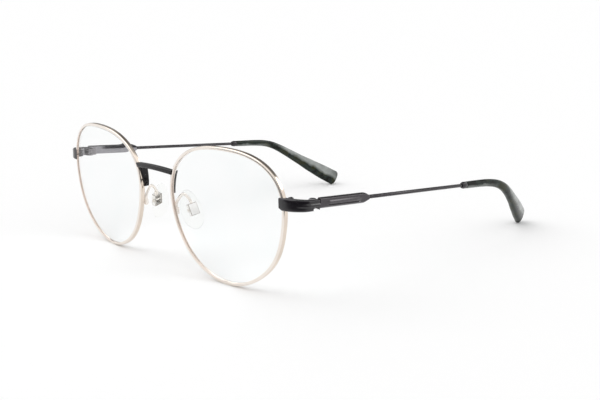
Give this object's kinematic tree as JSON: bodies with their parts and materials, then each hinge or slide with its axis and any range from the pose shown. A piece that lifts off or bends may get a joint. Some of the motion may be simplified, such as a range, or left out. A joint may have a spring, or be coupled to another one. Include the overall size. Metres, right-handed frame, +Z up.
{
  "type": "eyeglass frame",
  "caption": "Round metal eyeglass frame with black bridge and end pieces, rose gold rims, clear lenses, nose pads, hinged wire temples and mottled tips.",
  "frame": {"origin": "centre of the bounding box on the surface the frame stands on, temples open", "axes": "+Z up, lens fronts towards -Y, temples running back along +Y, the wearer's left side on +X"},
  "size_m": [0.1324, 0.128, 0.0428],
  "materials": {
    "rose_gold": "polished rose gold plate",
    "black_metal": "satin black lacquer",
    "screw_steel": "plain turned steel",
    "demo_lens": "clear polished acrylic",
    "clear_silicone": "clear soft silicone",
    "tortoise_acetate": "mottled green-grey polished acetate"
  },
  "bodies": {
    "front": {"bridge": "black_metal", "rim_left": "rose_gold", "lens_left": "demo_lens", "lock_upper_left": "black_metal", "lock_lower_left": "black_metal", "lock_screw_left": "black_metal", "end_piece_left": "black_metal", "hinge_front_leaf_left": "black_metal", "hinge_screw_left": "black_metal", "pad_arm_left": "rose_gold", "pad_box_left": "screw_steel", "pad_screw_left": "screw_steel", "nose_pad_left": "clear_silicone", "rim_right": "rose_gold", "lens_right": "demo_lens", "lock_upper_right": "black_metal", "lock_lower_right": "black_metal", "lock_screw_right": "black_metal", "end_piece_right": "black_metal", "hinge_front_leaf_right": "black_metal", "hinge_screw_right": "black_metal", "pad_arm_right": "rose_gold", "pad_box_right": "screw_steel", "pad_screw_right": "screw_steel", "nose_pad_right": "clear_silicone"},
    "temple_left": {"hinge_temple_leaf_left": "black_metal", "temple_block_left": "black_metal", "temple_wire_left": "black_metal", "tip_collar_left": "black_metal", "temple_tip_left": "tortoise_acetate"},
    "temple_right": {"hinge_temple_leaf_right": "black_metal", "temple_block_right": "black_metal", "temple_wire_right": "black_metal", "tip_collar_right": "black_metal", "temple_tip_right": "tortoise_acetate"}
  },
  "joints": [
    {"name": "hinge_left", "type": "hinge", "parent": "front", "child": "temple_left", "pos_m": [0.06315, -0.05134, 0.02835], "axis": [-0.0039, 0.0885, 0.9961], "range_deg": [0, 85]},
    {"name": "hinge_right", "type": "hinge", "parent": "front", "child": "temple_right", "pos_m": [-0.06315, -0.05134, 0.02835], "axis": [0.0039, 0.0885, 0.9961], "range_deg": [-77, 0]}
  ]
}
